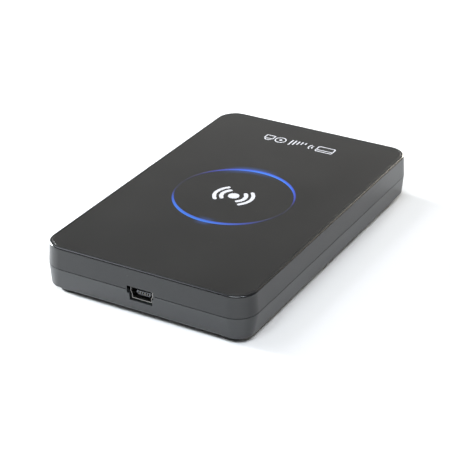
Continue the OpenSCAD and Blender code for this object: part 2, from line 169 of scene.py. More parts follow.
def ring_end(ring, count):
    """One face across ring number `ring`."""
    return tuple(range(ring * count, (ring + 1) * count))


def across(outer, inner, i, count):
    """A face through the wall, between two rings, at place i."""
    return (outer * count + i, outer * count + i + 1, inner * count + i + 1, inner * count + i)


def solid_through(rings):
    """Points and faces of a solid through a row of rings, closed at both ends."""
    count = len(rings[0])
    faces = grid_faces(len(rings), count) + [ring_end(0, count), ring_end(len(rings) - 1, count)]
    return [point for ring in rings for point in ring], faces


def band_through(rings):
    """Points and faces of a band whose last ring joins its first."""
    rings = [*rings, rings[0]]
    return [point for ring in rings for point in ring], grid_faces(len(rings), len(rings[0]))


def bevel_edges(piece, chosen, width, segments=2):
    """Rounds the edges whose both ends satisfy chosen(point in millimetres)."""
    work = bmesh.new()
    work.from_mesh(piece.data)
    edges = [e for e in work.edges if chosen(e.verts[0].co / MM, e.verts[1].co / MM)]
    bmesh.ops.bevel(work, geom=edges, offset=width * MM, segments=segments, affect="EDGES",
                    profile=0.5, clamp_overlap=True)
    work.to_mesh(piece.data)
    work.free()


def carve(piece, cutters):
    """Cuts closed shapes out of a piece and removes them."""
    for cutter in cutters:
        cut = piece.modifiers.new("cut", "BOOLEAN")
        cut.operation = "DIFFERENCE"
        cut.solver = "EXACT"
        cut.object = cutter
    graph = bpy.context.evaluated_depsgraph_get()
    carved = bpy.data.meshes.new_from_object(piece.evaluated_get(graph))
    piece.modifiers.clear()
    old, piece.data = piece.data, carved
    bpy.data.meshes.remove(old)
    for cutter in cutters:
        bpy.data.objects.remove(cutter)


def joined(name, parts, **options):
    """One piece from several lots of points and faces."""
    points, faces = [], []
    for more, links in parts:
        start = len(points)
        points += more
        faces += [tuple(start + i for i in face) for face in links]
    return piece_from(name, points, faces, **options)


def turned(profile, at, steps):
    """Points and faces of a turned shape; the profile of (radius, z) starts and ends on the axis."""
    rings = []
    for r, z in profile:
        rings.append([(x, y, z) for x, y in arc(*at, r, [360 * i / steps for i in range(steps)])])
    return [point for ring in rings for point in ring], grid_faces(len(rings), steps)


def prism(points_2d, z0, z1):
    """Points and faces of an upright prism over a flat outline."""
    return solid_through([[(x, y, z) for x, y in points_2d] for z in (z0, z1)])


def along_y(section, y0, y1):
    """Points and faces of a bar along Y from a section of (x, z)."""
    return solid_through([[(x, y, z) for x, z in section] for y in (y0, y1)])


def cutter_from(name, shape):
    return piece_from(name, *shape, weighted=False)


def disc_outline(cx, cy, r, steps=32):
    return arc(cx, cy, r, [360 * i / steps for i in range(steps)])


def shifted(points_2d, dx, dy):
    return [(x + dx, y + dy) for x, y in points_2d]


def near(value, *targets):
    return any(abs(value - target) < NEAR for target in targets)


# ---------------------------------------------------------------------------------------------------
# Covers
# ---------------------------------------------------------------------------------------------------
# Stops along the front wall, so that the wall's grid has edges where the socket's opening needs them
FRONT_STOPS = [-22, -14, -8, -PORT_HALF, -PORT_LOW_HALF, -2, 0, 2, PORT_LOW_HALF, PORT_HALF, 8, 14, 22]
LEFT_WIDE, LEFT_LOW = FRONT_STOPS.index(-PORT_HALF), FRONT_STOPS.index(-PORT_LOW_HALF)
RIGHT_LOW, RIGHT_WIDE = FRONT_STOPS.index(PORT_LOW_HALF), FRONT_STOPS.index(PORT_HALF)
OUTER_FACE_Y = -BODY_L / 2 + 0.6    # the front wall's outer face, leaning or not, is before this


def lean_at(z):
    """How far the outer wall stands in from the parting outline at a height."""
    if z >= Z_PART:
        return -LID_LEAN * (z - Z_PART) / (Z_TOP - Z_PART)
    return -BASE_LEAN * (Z_PART - z) / (Z_PART - Z_BASE)


def corner_radius(z):
    """The outer wall's corner radius at a height."""
    if z >= Z_PART:
        return CORNER_PART + (CORNER_TOP - CORNER_PART) * (z - Z_PART) / (Z_TOP - Z_PART)
    return CORNER_PART + (CORNER_BOTTOM - CORNER_PART) * (Z_PART - z) / (Z_PART - Z_BASE)


def wall_from(section):
    """Sweeps a section round the body. A section point is (distance out from the parting outline, z)."""
    points = []
    for out, z in section:
        radius = corner_radius(z) + out - lean_at(z)
        for x, y in outline(BODY_W / 2 + out, BODY_L / 2 + out, radius, FRONT_STOPS):
            points.append((x, y, z))
    return points


def slot_side(up):
    """Section points from the outer face into the slot at the parting line; up is 1 above it, -1 below."""
    soft_out, soft_in = 0.04, 0.12
    return [(lean_at(Z_PART + up * GROOVE), Z_PART + up * GROOVE), (-soft_out, Z_PART + up * (SLOT + 0.01)),
            (-soft_in, Z_PART + up * SLOT), (-SLOT_DEEP, Z_PART + up * SLOT), (-SLOT_DEEP, Z_PART)]


def lid_section():
    """The upper cover's section and the number of its first inner point."""
    rim_in = -LID_LEAN - RIM_W
    turn_z = Z_TOP - RIM_ROUND
    section = [(rim_in, Z_RECESS), (rim_in, Z_TOP - RIM_SOFT)]
    section += arc(rim_in + RIM_SOFT, Z_TOP - RIM_SOFT, RIM_SOFT, (150, 120, 90))
    section += arc(lean_at(turn_z) - RIM_ROUND, turn_z, RIM_ROUND, range(90, -1, -15))
    section += [(lean_at(z), z) for z in (Z_PART + 4.2, PORT_TOP + 0.6, PORT_TOP)]
    section += slot_side(1)
    inner = len(section)
    section += [(-WALL, Z_PART), (-WALL, PORT_TOP), (-WALL, Z_RECESS - PLATE)]
    return section, inner


def on_opening_face(a, b):
    """Whether both ends of an edge are on the front wall's outer face, within the opening's width."""
    return all(p.y < OUTER_FACE_Y and abs(p.x) < PORT_HALF + NEAR for p in (a, b))


def build_lid():
    section, inner = lid_section()
    points = wall_from(section)
    count = len(points) // len(section)
    top = next(k for k, place in enumerate(section) if place[1] == PORT_TOP)
    top_in = inner + 1
    notch = range(LEFT_WIDE, RIGHT_WIDE)
    faces = grid_faces(len(section), count, {(k, i) for k in range(top, top_in) for i in notch})
    # the opening's top and its two sides
    faces += [across(top, top_in, i, count) for i in notch]
    faces += [tuple(k * count + i for k in range(top, top_in + 1)) for i in (LEFT_WIDE, RIGHT_WIDE)]
    # seat for the panel, and the plate's underside
    faces += [ring_end(0, count), ring_end(len(section) - 1, count)]
    lid = piece_from("top_cover_shell", points, faces, weighted=False)

    def on_opening(a, b):
        if max(a.z, b.z) > PORT_TOP + NEAR or not on_opening_face(a, b):
            return False
        upright = near(a.x, b.x) and near(abs(a.x), PORT_HALF)
        level = near(a.z, b.z) and near(a.z, PORT_TOP)
        return upright or level
    bevel_edges(lid, on_opening, PORT_EDGE)
    finish_shading(lid)
    return lid


def base_section():
    """The lower cover's section and the number of its first inner point."""
    turn_z = Z_BASE + BASE_ROUND
    section = [(-BASE_LEAN - 4, Z_BASE)]
    section += arc(lean_at(turn_z) - BASE_ROUND, turn_z, BASE_ROUND, range(-90, 1, 15))
    section += [(lean_at(z), z) for z in (Z_BASE + 1.8, PORT_LOW, PORT_STEP)]
    section += slot_side(-1)
    inner = len(section)
    section += [(-WALL, Z_PART), (-WALL, PORT_STEP), (-WALL, PORT_LOW), (-WALL - BASE_LEAN, Z_FLOOR)]
    return section, inner


def build_base():
    section, inner = base_section()
    points = wall_from(section)
    count = len(points) // len(section)
    low = next(k for k, place in enumerate(section) if place[1] == PORT_LOW)
    step = low + 1
    step_in, low_in = inner + 1, inner + 2
    wide, narrow = range(LEFT_WIDE, RIGHT_WIDE), range(LEFT_LOW, RIGHT_LOW)
    left_open = {(k, i) for k in range(step, step_in) for i in wide}
    left_open |= {(k, i) for k in (low, step_in) for i in narrow}
    faces = grid_faces(len(section), count, left_open)
    # the opening's floor, its two steps and its sides
    faces += [across(low, low_in, i, count) for i in narrow]
    faces += [across(step, step_in, i, count) for i in wide if i not in narrow]
    faces += [tuple(k * count + i for k in range(step, step_in + 1)) for i in (LEFT_WIDE, RIGHT_WIDE)]
    faces += [tuple(k * count + i for k in (low, step, step_in, low_in)) for i in (LEFT_LOW, RIGHT_LOW)]
    faces += [ring_end(0, count), ring_end(len(section) - 1, count)]
    base = piece_from("bottom_cover_shell", points, faces, weighted=False)

    def on_opening(a, b):
        if min(a.z, b.z) < PORT_LOW - NEAR or not on_opening_face(a, b):
            return False
        wide_side = near(abs(a.x), PORT_HALF) and min(a.z, b.z) > PORT_STEP - NEAR
        low_side = near(abs(a.x), PORT_LOW_HALF) and max(a.z, b.z) < PORT_STEP + NEAR
        on_step = near(a.z, PORT_STEP) and min(abs(a.x), abs(b.x)) > PORT_LOW_HALF - NEAR
        upright = near(a.x, b.x) and (wide_side or low_side)
        level = near(a.z, b.z) and (near(a.z, PORT_LOW) or on_step)
        return upright or level
    bevel_edges(base, on_opening, PORT_EDGE)
    carve(base, underside_cutters())
    finish_shading(base)
    return base


def underside_cutters():
    """The feet's pockets, the label's recess and the sound holes under the buzzer."""
    below, pocket_deep, recess_deep = -1, 0.8, 0.15
    pockets = [disc_outline(x, y, FOOT_R + 0.1, 48) for x in (-FOOT_X, FOOT_X) for y in (-FOOT_Y, FOOT_Y)]
    cutters = [cutter_from("pocket", prism(pocket, below, Z_BASE + pocket_deep)) for pocket in pockets]
    label_low, label_high = box_mm("base_label")
    centre, half = (label_low + label_high) / 2, (label_high - label_low) / 2
    recess = shifted(outline(half.x + 0.3, half.y + 0.3, 1.3, arc_steps=8), centre.x, centre.y)
    cutters.append(cutter_from("recess", prism(recess, below, Z_BASE + recess_deep)))
    buzzer_low, buzzer_high = box_mm("buzzer")
    buzzer = (buzzer_low + buzzer_high) / 2
    for x, y in [(0, 0), *arc(0, 0, 2.2, range(0, 360, 60))]:
        hole = disc_outline(buzzer.x + x, buzzer.y + y, 0.6, 20)
        cutters.append(cutter_from("sound_hole", prism(hole, below, Z_FLOOR + 1)))
    return cutters


# ---------------------------------------------------------------------------------------------------
# Face panel, ring window and printed marks
# ---------------------------------------------------------------------------------------------------
def build_panel():
    grown = 0.22                # the gap that shows is narrower than the fitting gap
    half = (panel_high - panel_low) / 2
    radius = CORNER_TOP - RIM_W - 0.3 + grown
    top = panel_high.z - PANEL_EDGE
    section = [(-0.02, panel_low.z), (0, panel_low.z + 0.02), (0, top)]
    section += arc(-PANEL_EDGE, top, PANEL_EDGE, (30, 60, 90))
    rings = []
    for out, z in section:
        edge = outline(half.x + grown + out, half.y + grown + out, radius + out, [0])
        rings.append([(x, y, z) for x, y in edge])
    return piece_from("face_panel_sheet", *solid_through(rings))


def build_ring_window():
    """A ring flush with the panel, wide towards the short sides and narrow towards the long sides."""
    steps, proud, bevel = 180, 0.012, 0.04
    low, shoulder, high = Z_TOP - 0.2, Z_TOP + proud * 0.5, Z_TOP + proud
    in_x, in_y = RING_SIDE_R - RING_NARROW, RING_R - RING_WIDE
    rings = []
    for r_x, r_y, z in (
            (RING_SIDE_R, RING_R, low), (RING_SIDE_R, RING_R, shoulder),
            (RING_SIDE_R - bevel, RING_R - bevel, high), (in_x + bevel, in_y + bevel, high),
            (in_x, in_y, shoulder), (in_x, in_y, low)):
        circle = [polar(1, 360 * i / steps) for i in range(steps)]
        rings.append([(r_x * x, RING_Y + r_y * y, z) for x, y in circle])
    return piece_from("ring_window_glass", *band_through(rings))


# Ink: how far it stands up from the panel and down into it, and the pictograms' line
INK_UP, INK_DOWN = 0.02, 0.04
STROKE = 0.42


def ink_band(outer, inner):
    """A raised film of ink between two outlines with the same number of points."""
    low, high = Z_TOP - INK_DOWN, Z_TOP + INK_UP
    return band_through([[(x, y, z) for x, y in edge]
                         for edge, z in ((outer, low), (outer, high), (inner, high), (inner, low))])


def ink_fill(points_2d):
    return prism(points_2d, Z_TOP - INK_DOWN, Z_TOP + INK_UP)


def arc_mark(cx, cy, r, stroke, half_angle, turn, steps=20):
    """An arc stroke with round ends."""
    path = []
    for side in (1, -1):
        angles = [turn + side * (-half_angle + 2 * half_angle * i / steps) for i in range(steps + 1)]
        path += arc(cx, cy, r + side * stroke / 2, angles)
        end_x, end_y = polar(r, angles[-1])
        start = angles[-1] + (0 if side > 0 else 180)
        path += arc(cx + end_x, cy + end_y, stroke / 2, [start + 30 * k for k in range(1, 6)])
    return ink_fill(path)


def turned_about(parts, y_middle):
    """Turns parts by half a turn, so that they read from the +Y side."""
    return [([(-x, 2 * y_middle - y, z) for x, y, z in points], faces) for points, faces in parts]


def build_emblem():
    parts = [ink_fill(disc_outline(0, RING_Y, 1.8, 48))]
    for turn in (0, 180):
        parts.append(arc_mark(0, RING_Y, 3.9, 1.3, 46, turn))
        parts.append(arc_mark(0, RING_Y, 6.1, 1.2, 46, turn))
    return joined("emblem_ink", parts, weighted=False)


def round_frame(cx, cy, half_w, half_l, radius):
    """A thin line round a rectangle with round corners."""
    outer = outline(half_w, half_l, radius, arc_steps=6)
    inner = outline(half_w - STROKE, half_l - STROKE, radius - STROKE * 0.6, arc_steps=6)
    return ink_band(shifted(outer, cx, cy), shifted(inner, cx, cy))


def card_pictogram(x, y):
    stripe = outline(3.0, STROKE / 2, 0.05, arc_steps=2)
    return [round_frame(x, y, 3.2, 2.05, 0.7), ink_fill(shifted(stripe, x, y + 0.7))]


def waves_pictogram(x, y):
    return [arc_mark(x, y, r, STROKE, 40, 0, 10) for r in (1.2, 2.3)]


def bars_pictogram(x, y):
    parts = []
    for bar in range(5):
        tall = 1.35 + 0.7 * bar
        line = outline(STROKE / 2 + 0.04, tall / 2, 0.12, arc_steps=4)
        parts.append(ink_fill(shifted(line, x + 1.25 * bar, y - 2.05 + tall / 2)))
    return parts


def target_pictogram(x, y):
    ring = ink_band(disc_outline(x, y, 2.05, 40), disc_outline(x, y, 2.05 - STROKE, 40))
    return [ring, ink_fill(disc_outline(x, y, 0.55, 24))]


def padlock_pictogram(x, y):
    return [round_frame(x, y - 0.65, 1.75, 1.4, 0.5), arc_mark(x, y + 0.62, 1.15, STROKE, 86, 90, 14)]


def build_legend():
    """A row of pictograms in thin lines."""
    low, high = box_mm("legend_print")
    y = (low.y + high.y) / 2
    parts = (card_pictogram(-10, y) + waves_pictogram(-6.3, y) + bars_pictogram(-2.2, y)
             + target_pictogram(6.6, y) + padlock_pictogram(10.9, y))
    return joined("legend_ink", turned_about(parts, y), weighted=False)


# ---------------------------------------------------------------------------------------------------
# Socket
# ---------------------------------------------------------------------------------------------------
SHELL_H, SHELL_T = 3.95, 0.3
SHELL_HALF, SHELL_LOW = 3.85, 3.45


def rounded_path(corners, steps=4):
    """Rounds each corner (x, z, radius) of a closed outline, given counter-clockwise."""
    path = []
    n = len(corners)
    for i, (x, z, r) in enumerate(corners):
        here = Vector((x, z))
        before = (Vector(corners[i - 1][:2]) - here).normalized()
        after = (Vector(corners[(i + 1) % n][:2]) - here).normalized()
        half = before.angle(after) / 2
        if r <= 0 or half > 1.55:
            path.append((x, z))
            continue
        cut = r / math.tan(half)
        a, b = here + before * cut, here + after * cut
        for k in range(steps + 1):
            t = k / steps
            path.append(tuple(a * (1 - t) ** 2 + here * (2 * t * (1 - t)) + b * t ** 2))
    return path


def shell_outline(inset):
    """Outline of the stamped shell: wide above, drawn in below, all bends rounded."""
    a, b = SHELL_HALF - inset, SHELL_LOW - inset
    low, high = inset, SHELL_H - inset
    bend = 0.55 - inset * 0.8
    lift = inset * 0.25
    return rounded_path([
        (b, low, bend), (b, 1.45 - lift, 0.3), (a, 2.25 - lift, 0.3), (a, high, bend),
        (-a, high, bend), (-a, 2.25 - lift, 0.3), (-b, 1.45 - lift, 0.3), (-b, low, bend)])


def build_shell():
    edge_in = SHELL_T - 0.08
    rings = []
    for inset, y in ((0.0, SHELL_DEPTH), (0.0, 0.08), (0.03, 0.02), (0.08, 0.0), (edge_in, 0.0),
                     (edge_in + 0.05, 0.02), (SHELL_T, 0.08), (SHELL_T, SHELL_DEPTH)):
        rings.append([(x, SHELL_FRONT + y, Z_BOARD + z) for x, z in shell_outline(inset)])
    parts = [band_through(rings)]
    # solder feet, bent out flat on the board
    half_foot = 0.8
    for side in (-1, 1):
        foot = [(side * x, Z_BOARD + z) for x, z in (
            (3.5, 0), (5.3, 0), (5.3, SHELL_T), (3.95, SHELL_T), (3.8, 0.45), (3.8, 1.9), (3.5, 1.9))]
        for y in (SHELL_FRONT + 1.6, SHELL_FRONT + 7.4):
            parts.append(along_y(foot, y - half_foot, y + half_foot))
    return joined("usb_shell_stamped", parts)


TONGUE_LOW, TONGUE_HIGH = 0.95, 2.35
CONTACT_X = [-1.6, -0.8, 0.0, 0.8, 1.6]
TONGUE_SETBACK = 1.1


def build_tongue():
    half, half_low = 2.45, 2.1
    face = rounded_path([
        (half_low, TONGUE_LOW, 0.15), (half, TONGUE_LOW + 0.6, 0.1), (half, TONGUE_HIGH, 0.18),
        (-half, TONGUE_HIGH, 0.18), (-half, TONGUE_LOW + 0.6, 0.1), (-half_low, TONGUE_LOW, 0.15)], 3)
    centre = (TONGUE_LOW + TONGUE_HIGH) / 2
    rings = []
    for y, scale in ((TONGUE_SETBACK, 0.88), (TONGUE_SETBACK + 0.08, 0.96), (TONGUE_SETBACK + 0.2, 1.0),
                     (SHELL_DEPTH - 0.3, 1.0)):
        narrowed = 1 - (1 - scale) * 0.5
        rings.append([(x * narrowed, SHELL_FRONT + y, Z_BOARD + centre + (z - centre) * scale)
                      for x, z in face])
    tongue = piece_from("tongue", *solid_through(rings), weighted=False)
    slot_half, slot_low, slot_high = 0.22, Z_BOARD + TONGUE_LOW + 0.35, Z_BOARD + TONGUE_LOW + 1.15
    cutters = []
    for x in CONTACT_X:
        section = [(x - slot_half, slot_low), (x + slot_half, slot_low), (x + slot_half, slot_high),
                   (x - slot_half, slot_high)]
        cutters.append(cutter_from("slot", along_y(section, SHELL_FRONT, SHELL_FRONT + SHELL_DEPTH - 1)))
    carve(tongue, cutters)
    return tongue


def build_insulator():
    """The tongue with its contact slots, and the block that it grows out of at the back of the shell."""
    tongue = build_tongue()
    section = [(x, Z_BOARD + z) for x, z in shell_outline(SHELL_T + 0.02)]
    back = SHELL_FRONT + SHELL_DEPTH
    block = piece_from("block", *along_y(section, back - 2.5, back - 0.1), weighted=False)
    merged = bmesh.new()
    merged.from_mesh(tongue.data)
    merged.from_mesh(block.data)
    mesh = bpy.data.meshes.new("usb_tongue_moulding")
    merged.to_mesh(mesh)
    merged.free()
    for part in (tongue, block):
        bpy.data.objects.remove(part)
    piece = bpy.data.objects.new("usb_tongue_moulding", mesh)
    bpy.context.scene.collection.objects.link(piece)
    finish_shading(piece)
    return piece


def build_contacts():
    """Five strips in the tongue's slots, each with a crowned nose, bent down to the board behind."""
    half, crown_half, half_thick, crown = 0.17, 0.11, 0.09, 0.12
    section = ((-half, -half_thick), (half, -half_thick), (half, half_thick), (crown_half, crown),
               (-crown_half, crown), (-half, half_thick))
    back = SHELL_DEPTH + 0.1
    line = ((1.35, 0.42), (1.5, 0.52), (1.9, 0.6), (2.6, 0.62), (3.4, 0.55), (back, 0.55))
    tail = ((back, TONGUE_LOW + 0.65), (back + 0.2, TONGUE_LOW + 0.6), (back + 0.2, 0.22),
            (back + 1.1, 0.2), (back + 1.1, 0.0), (back + 0.02, 0.0))
    parts = []
    for x in CONTACT_X:
        strip = [[(x + dx, SHELL_FRONT + y, Z_BOARD + TONGUE_LOW + z + dz) for dx, dz in section]
                 for y, z in line]
        bend = [[(x + side, SHELL_FRONT + y, Z_BOARD + z) for y, z in tail] for side in (-half, half)]
        parts += [solid_through(strip), solid_through(bend)]
    return joined("usb_contact_strips", parts)


# ---------------------------------------------------------------------------------------------------
# Underside
# ---------------------------------------------------------------------------------------------------
def build_feet():
    """Round pads with a dished underside, stuck in the lower cover's pockets."""
    top = Z_BASE + 0.78
    edge = 0.35
    profile = [(0.0, 0.12), (1.8, 0.12), (2.2, 0.04), (2.5, 0.0), (FOOT_R - edge, 0.0)]
    profile += arc(FOOT_R - edge, edge, edge, (-68, -45, -22, 0))
    profile += [(FOOT_R, top - 0.05), (FOOT_R - 0.05, top), (0.0, top)]
    places = [(x, y) for x in (-FOOT_X, FOOT_X) for y in (-FOOT_Y, FOOT_Y)]
    return joined("rubber_foot_pads", [turned(profile, place, 64) for place in places])


def build_label():
    low, high = box_mm("base_label")
    half, centre = (high - low) / 2, (low + high) / 2
    rim, corner = 0.03, 1.0
    rings = []
    for out, z in ((0.0, high.z), (0.0, low.z + rim), (-rim, low.z)):
        edge = outline(half.x + out, half.y + out, corner + out, arc_steps=8)
        rings.append([(x, y, z) for x, y in shifted(edge, centre.x, centre.y)])
    return piece_from("base_label_film", *solid_through(rings))


# ---------------------------------------------------------------------------------------------------
# Shader groups: each gives values that change over the surface
# ---------------------------------------------------------------------------------------------------
class Graph:
    """Short calls for making and joining nodes."""

    def __init__(self, tree):
        self.tree = tree

    def node(self, kind, **settings):
        made = self.tree.nodes.new(kind)
        for key, value in settings.items():
            setattr(made, key, value)
        return made

    def feed(self, socket, value):
        if isinstance(value, bpy.types.NodeSocket):
            self.tree.links.new(value, socket)
        elif value is not None:
            socket.default_value = value

    def math(self, operation, a, b=None, c=None, clamp=False):
        made = self.node("ShaderNodeMath", operation=operation, use_clamp=clamp)
        for socket, value in zip(made.inputs, (a, b, c)):
            self.feed(socket, value)
        return made.outputs[0]

    def noise(self, vector, scale, detail=2.0, rough=0.5, stretch=None):
        if stretch:
            mapping = self.node("ShaderNodeMapping")
            self.feed(mapping.inputs["Vector"], vector)
            mapping.inputs["Scale"].default_value = stretch
            vector = mapping.outputs[0]
        made = self.node("ShaderNodeTexNoise")
        self.feed(made.inputs["Vector"], vector)
        self.feed(made.inputs["Scale"], scale)
        made.inputs["Detail"].default_value = detail
        made.inputs["Roughness"].default_value = rough
        return made.outputs["Fac"]

    def remap(self, value, low, high, to_low=0.0, to_high=1.0, kind="LINEAR"):
        made = self.node("ShaderNodeMapRange", interpolation_type=kind)
        for socket, item in zip(made.inputs, (value, low, high, to_low, to_high)):
            self.feed(socket, item)
        return made.outputs[0]

    def mix(self, factor, a, b, blend="MIX"):
        made = self.node("ShaderNodeMix", data_type="RGBA", blend_type=blend)
        self.feed(made.inputs[0], factor)
        self.feed(made.inputs[6], a)
        self.feed(made.inputs[7], b)
        return made.outputs[2]

    def ramp(self, value, stops):
        """A colour ramp; stops are (position, colour)."""
        made = self.node("ShaderNodeValToRGB")
        self.feed(made.inputs[0], value)
        elements = made.color_ramp.elements
        while len(elements) < len(stops):
            elements.new(0.5)
        for element, (position, colour) in zip(elements, stops):
            element.position = position
            element.color = (*colour, 1.0)
        return made.outputs[0]

    def place(self):
        return self.node("ShaderNodeTexCoord").outputs["Object"]

    def split(self, vector):
        made = self.node("ShaderNodeSeparateXYZ")
        self.feed(made.inputs[0], vector)
        return made.outputs

    def scale(self, vector, factor):
        made = self.node("ShaderNodeVectorMath", operation="SCALE")
        self.feed(made.inputs[0], vector)
        self.feed(made.inputs["Scale"], factor)
        return made.outputs[0]

    def bump(self, shader, height, strength, depth_mm):
        """Raises the shader's surface by a height from 0 to 1."""
        made = self.node("ShaderNodeBump")
        made.inputs["Strength"].default_value = strength
        made.inputs["Distance"].default_value = depth_mm * MM
        self.feed(made.inputs["Height"], height)
        self.feed(shader.inputs["Normal"], made.outputs[0])


def new_group(name, inputs, outputs):
    tree = bpy.data.node_groups.new(name, "ShaderNodeTree")
    for label, default in inputs:
        socket = tree.interface.new_socket(label, in_out="INPUT", socket_type="NodeSocketFloat")
        socket.default_value = default
    for label in outputs:
        kind = "NodeSocketColor" if label.endswith("Colour") else "NodeSocketFloat"
        tree.interface.new_socket(label, in_out="OUTPUT", socket_type=kind)
    graph = Graph(tree)
    return tree, graph, graph.node("NodeGroupInput"), graph.node("NodeGroupOutput")


def grain_group():
    """Fine tooling grain of a moulded face, with slow changes in tone and gloss."""
    tree, g, inside, out = new_group(
        "moulded_grain", [("Grain Size mm", 0.15), ("Tone Spread", 0.08), ("Gloss Spread", 0.05)],
        ["Height", "Tone", "Gloss Shift"])
    place = g.place()
    fine = g.noise(place, g.math("DIVIDE", 1 / MM, inside.outputs["Grain Size mm"]), 3.0, 0.6)
    broad = g.noise(place, 60.0, 3.0, 0.55)
    middle = g.noise(place, 420.0, 2.0, 0.5)
    spread = inside.outputs["Tone Spread"]
    slow = g.math("SUBTRACT", broad, 0.5)
    medium = g.math("MULTIPLY", g.math("SUBTRACT", middle, 0.5), 0.35)
    tone = g.math("MULTIPLY", g.math("ADD", slow, medium), spread)
    fleck = g.math("MULTIPLY", g.math("SUBTRACT", fine, 0.5), g.math("MULTIPLY", spread, 0.9))
    g.feed(out.inputs["Height"], g.math("ADD", fine, g.math("MULTIPLY", middle, 0.25)))
    g.feed(out.inputs["Tone"], g.math("ADD", 1.0, g.math("ADD", g.math("MULTIPLY", tone, 2.0), fleck)))
    g.feed(out.inputs["Gloss Shift"], g.math("MULTIPLY", slow, inside.outputs["Gloss Spread"]))
    return tree


def dust_group():
    """Sparse tiny specks, as dust that has settled on a dark case."""
    tree, g, inside, out = new_group(
        "dust_specks", [("Spacing mm", 2.2), ("Speck mm", 0.09), ("Share", 0.3)], ["Mask"])
    place = g.place()
    cells = g.node("ShaderNodeTexVoronoi", feature="F1")
    g.feed(cells.inputs["Vector"], place)
    g.feed(cells.inputs["Scale"], g.math("DIVIDE", 1 / MM, inside.outputs["Spacing mm"]))
    reach = g.math("DIVIDE", inside.outputs["Speck mm"], inside.outputs["Spacing mm"])
    dot = g.remap(cells.outputs["Distance"], g.math("MULTIPLY", reach, 0.4), reach, 1.0, 0.0, "SMOOTHSTEP")
    chance = g.node("ShaderNodeSeparateColor")
    g.feed(chance.inputs[0], cells.outputs["Color"])
    chosen = g.math("LESS_THAN", chance.outputs[0], inside.outputs["Share"])
    strength = g.remap(chance.outputs[1], 0.0, 1.0, 0.3, 1.0)
    g.feed(out.inputs["Mask"], g.math("MULTIPLY", g.math("MULTIPLY", dot, chosen), strength))
    return tree


# Light of the window over half a turn, from just before the bright stretch begins
RING_START = 6              # degrees from +X
RING_PEAK = 0.42            # part of the half turn
RING_FADE = (
    (0.00, (0.002, 0.003, 0.025)), (0.05, (0.008, 0.014, 0.120)), (0.13, (0.018, 0.100, 0.620)),
    (0.22, (0.020, 0.180, 0.870)), (0.48, (0.020, 0.200, 0.870)), (0.56, (0.022, 0.150, 0.780)),
    (0.64, (0.025, 0.095, 0.560)), (0.72, (0.020, 0.048, 0.330)), (0.80, (0.010, 0.018, 0.100)),
    (0.89, (0.002, 0.003, 0.025)))


def ring_light_group():
    """Blue light of the ring: its colour and level round the turn, and the spill beside it."""
    tree, g, inside, out = new_group("ring_light", [("Spill mm", 3.0)], ["Window Colour", "Spill"])
    place = g.split(g.place())
    x = g.math("MULTIPLY", place[0], RING_R / RING_SIDE_R / MM)
    y = g.math("SUBTRACT", g.math("MULTIPLY", place[1], 1 / MM), RING_Y)
    radius = g.math("SQRT", g.math("ADD", g.math("MULTIPLY", x, x), g.math("MULTIPLY", y, y)))
    is_far = g.math("GREATER_THAN", y, 0.0)
    is_near = g.math("SUBTRACT", 1.0, is_far)

    # both LED groups light the ring the same way, half a turn apart: bright first, then a slow fade
    turn = g.math("DIVIDE", g.math("ARCTAN2", y, x), math.pi)
    half_turn = g.math("FRACT", g.math("ADD", turn, 2 - RING_START / 180))
    # the far group is the stronger one and reaches further round
    reach = g.remap(is_far, 0.0, 1.0, 1.06, 0.93)
    from_peak = g.math("MULTIPLY", g.math("SUBTRACT", half_turn, RING_PEAK), reach)
    fade = g.ramp(g.math("ADD", from_peak, RING_PEAK), RING_FADE)
    lit = g.scale(fade, g.remap(is_far, 0.0, 1.0, 0.93, 1.18))

    # painted shade: the lit colour turns a dimmer violet along the inner edge of the near half and the
    # outer edge of the far half
    inner = g.remap(radius, RING_R - RING_WIDE, RING_R - 0.2, 1.0, 0.0)
    outer = g.math("SUBTRACT", 1.0, inner)
    edge = g.math("ADD", g.math("MULTIPLY", inner, is_near), g.math("MULTIPLY", outer, is_far))
    violet = g.math("MULTIPLY", g.math("POWER", edge, 2.0), 0.9)
    violet_edge_shade = g.mix(1.0, lit, (1.0, 0.26, 0.58, 1.0), "MULTIPLY")
    g.feed(out.inputs["Window Colour"], g.mix(violet, lit, violet_edge_shade))

    away = g.math("ABSOLUTE", g.math("SUBTRACT", radius, RING_R - RING_WIDE * 0.5))
    beside = g.remap(away, 0.6, inside.outputs["Spill mm"], 1.0, 0.0, "SMOOTHERSTEP")
    far_spot = g.remap(g.math("ABSOLUTE", g.math("ADD", x, 3.5)), 2.0, 10.5, 1.0, 0.0, "SMOOTHSTEP")
    near_spot = g.remap(g.math("ABSOLUTE", g.math("SUBTRACT", x, 0.4)), 0.6, 3.6, 0.8, 0.0, "SMOOTHSTEP")
    spot = g.math("ADD", g.math("MULTIPLY", far_spot, is_far), g.math("MULTIPLY", near_spot, is_near))
    g.feed(out.inputs["Spill"], g.math("MULTIPLY", beside, spot))
    return tree


GRAIN = grain_group()
DUST = dust_group()
RING_LIGHT = ring_light_group()


def new_material(name):
    material = bpy.data.materials.new(name)
    material.use_nodes = True
    g = Graph(material.node_tree)
    shader = material.node_tree.nodes["Principled BSDF"]
    return material, g, shader


def place_group(g, tree, **values):
    made = g.node("ShaderNodeGroup")
    made.node_tree = tree
    for label, value in values.items():
        g.feed(made.inputs[label.replace("_", " ")], value)
    return made


